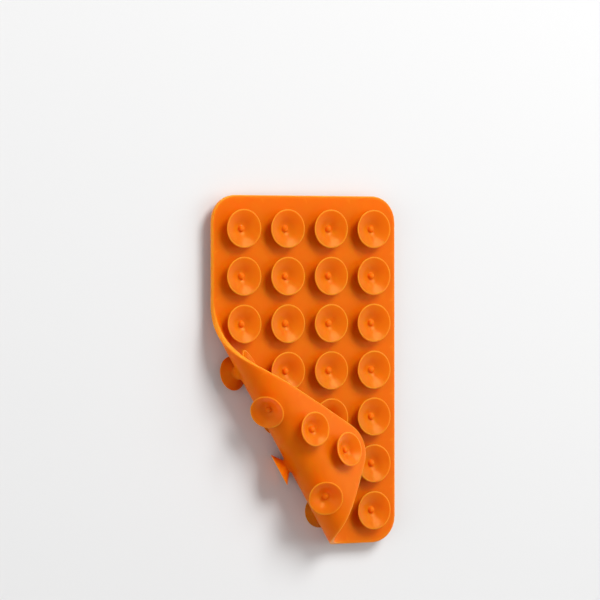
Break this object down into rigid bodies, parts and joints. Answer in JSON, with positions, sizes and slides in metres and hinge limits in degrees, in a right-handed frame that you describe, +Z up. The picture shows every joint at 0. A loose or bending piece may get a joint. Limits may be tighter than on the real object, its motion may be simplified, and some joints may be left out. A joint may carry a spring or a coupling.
{
  "type": "suction cup phone holder",
  "caption": "Thin silicone mat with rows of small suction cups on both faces, one corner peeled and folded over; sticks a phone to glass, tile or another smooth surface.",
  "frame": {"origin": "centre of the mat's outline, on the surface that its back cups lie on", "axes": "+X across the mat to its right edge, +Y along it to its top edge, +Z up out of its front face"},
  "size_m": [0.0602, 0.1001, 0.0174],
  "materials": {
    "silicone": "satin orange silicone"
  },
  "bodies": {
    "root": {"suction_mat": "silicone"}
  },
  "joints": []
}
